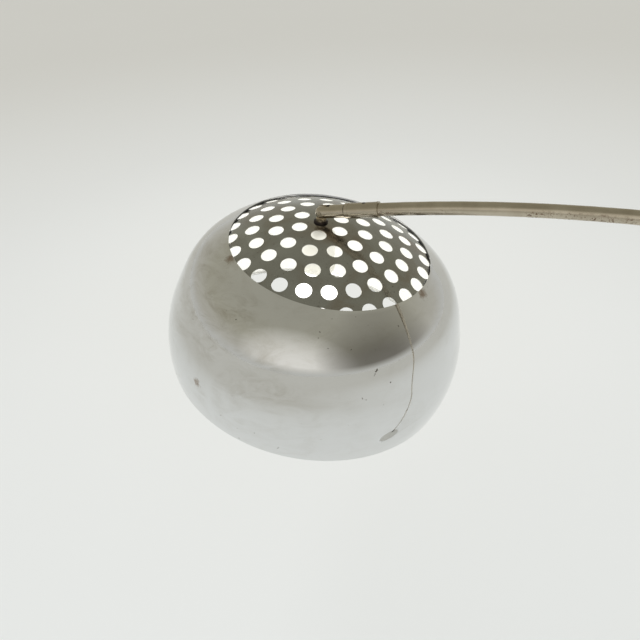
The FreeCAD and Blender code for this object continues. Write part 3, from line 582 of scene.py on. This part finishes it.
def build_dome(finishes, enamel_and_glow):
    """Perforated cap: outer skin, white inner skin with a painted glow, and the thickness at every edge."""
    flat_points, triangles = dome_sheet()
    ways = [sphere_way(p.length, math.atan2(p.y, p.x)) for p in flat_points]
    count = len(ways)
    verts = [w * (DOME_R - SKIN_INSET) for w in ways] + [w * (DOME_R - DOME_WALL) for w in ways]
    faces = []
    sides = {}
    for a, b, c in triangles:
        if (ways[b] - ways[a]).cross(ways[c] - ways[a]).dot(ways[a]) < 0:
            b, c = c, b
        faces.append((a, b, c))
        for pair in ((a, b), (b, c), (c, a)):
            if (pair[1], pair[0]) in sides:
                del sides[(pair[1], pair[0])]
            else:
                sides[pair] = True
    outer_count = len(faces)
    faces += [(c + count, b + count, a + count) for a, b, c in faces[:outer_count]]
    faces += [(b, a, a + count, b + count) for a, b in sides]
    place = axis_matrix(DOME_CENTRE, DOME_AXIS)
    piece = new_piece("dome_sheet", [place @ v for v in verts], faces, ["perforated_dome"], "dome",
                      [finishes["grey_dome"], enamel_and_glow])
    for index in range(outer_count, 2 * outer_count):
        piece.data.polygons[index].material_index = 1


# ---- stage ----

def build_floor():
    """Wide pale floor with painted light: paler in a painted pool round the lamp, and a painted bright patch in
    one place behind it.
    """
    half = FLOOR_HALF
    mesh = bpy.data.meshes.new("floor")
    corners = [(-half, -half, 0), (half, -half, 0), (half, half, 0), (-half, half, 0)]
    mesh.from_pydata(corners, [], [(0, 1, 2, 3)])
    floor = bpy.data.objects.new("floor", mesh)
    bpy.context.scene.collection.objects.link(floor)
    made, g = material("pale_floor")
    where = g.place()
    # painted light: the tone rises towards the pool's centre and again at the bright patch, standing in for light
    # falling on the floor
    tone = g.mix(g.near(where, PAINTED_POOL_CENTRE, 1.0, 9.0), (0.63, 0.625, 0.61, 1), (0.84, 0.86, 0.89, 1))
    tone = g.mix(g.near(where, PAINTED_LIGHT_PATCH, 0.3, 2.7), tone, (0.86, 0.87, 0.885, 1))
    cloud = g.maths("MULTIPLY", g.noise(where, 0.8, 3.0), 0.12)
    g.surface(Base_Color=g.mix(cloud, tone, (0.70, 0.70, 0.70, 1)), Roughness=0.9, Specular_IOR_Level=0.1)
    mesh.materials.append(made)


def build_world():
    """Soft studio surround: dim warm grey overhead, paler low down, bright in front, dark to one side."""
    world = bpy.data.worlds.new("studio")
    bpy.context.scene.world = world
    world.use_nodes = True
    g = Graph(world.node_tree)
    way = g.node("ShaderNodeTexCoord").outputs["Generated"]
    height = g.node("ShaderNodeSeparateXYZ", {0: way}).outputs["Z"]
    level = g.maths("MULTIPLY", g.maths("ADD", height, 1.0), 0.5)
    sky = g.ramp(level, [(0.50, (0.60, 0.60, 0.57)), (0.58, (0.52, 0.505, 0.45)),
                         (0.75, (0.42, 0.405, 0.33)), (1.0, (0.38, 0.37, 0.31))])
    rise = g.grey_ramp(level, (0.50, 0.0), (0.57, 1.0))
    bright = g.grey_ramp(g.vector_maths("DOT_PRODUCT", way, BRIGHT_WAY), (0.70, 0.0), (1.0, 0.8))
    sky = g.mix(g.maths("MULTIPLY", bright, rise), sky, (1.0, 0.98, 0.93, 1))
    dark = g.grey_ramp(g.vector_maths("DOT_PRODUCT", way, DARK_WAY), (0.66, 0.0), (0.98, 0.75))
    sky = g.mix(g.maths("MULTIPLY", dark, rise), sky, (0.09, 0.08, 0.065, 1))
    background = g.node("ShaderNodeBackground", {"Color": sky, "Strength": 1.0})
    output = g.node("ShaderNodeOutputWorld")
    g.tree.links.new(background.outputs[0], output.inputs["Surface"])


def build_lights():
    """One broad soft light, kept out of mirror reflections so that the chrome shows the surround."""
    data = bpy.data.lights.new("soft_sky", "SUN")
    data.energy = SUN_ENERGY
    data.color = (0.965, 0.985, 1.0)
    data.angle = math.radians(SUN_SPREAD_DEG)
    lamp = bpy.data.objects.new("soft_sky", data)
    lamp.rotation_euler = [math.radians(angle) for angle in SUN_TILT_DEG]
    lamp.visible_glossy = False
    bpy.context.scene.collection.objects.link(lamp)


def build_camera():
    """Camera above and in front of the shade, looking down on it."""
    data = bpy.data.cameras.new("camera")
    data.lens = CAMERA_LENS
    data.sensor_width = CAMERA_SENSOR
    data.clip_start = CAMERA_NEAR
    camera = bpy.data.objects.new("camera", data)
    a, e = math.radians(CAMERA_AZIMUTH), math.radians(CAMERA_ELEVATION)
    forward = Vector((-math.sin(a) * math.cos(e), math.cos(a) * math.cos(e), -math.sin(e)))
    look = forward.to_track_quat("-Z", "Y").to_matrix().to_4x4()
    roll = Matrix.Rotation(math.radians(-CAMERA_ROLL), 4, "Z")
    camera.matrix_world = Matrix.Translation(PIN + CAMERA_FROM_PIN) @ look @ roll
    bpy.context.scene.collection.objects.link(camera)
    bpy.context.scene.camera = camera


# ---- assembly ----

def dress_cad_nodes(finishes):
    """Gives every CAD node the finish of its record slot."""
    slots = {s["node"]: s["material_slot"] for s in frame["record"]["subparts"]}
    for name, node in frame["nodes"].items():
        node.data.materials.clear()
        node.data.materials.append(finishes[slots[name]])


def main():
    build_camera()
    finishes = all_finishes()
    enamel_and_glow = white_enamel_painted_glow()
    dress_cad_nodes(finishes)
    build_bowl(finishes, enamel_and_glow)
    build_dome(finishes, enamel_and_glow)
    build_arc(finishes)
    build_floor()
    build_world()
    build_lights()
    bpy.context.scene.view_settings.view_transform = "Standard"


main()
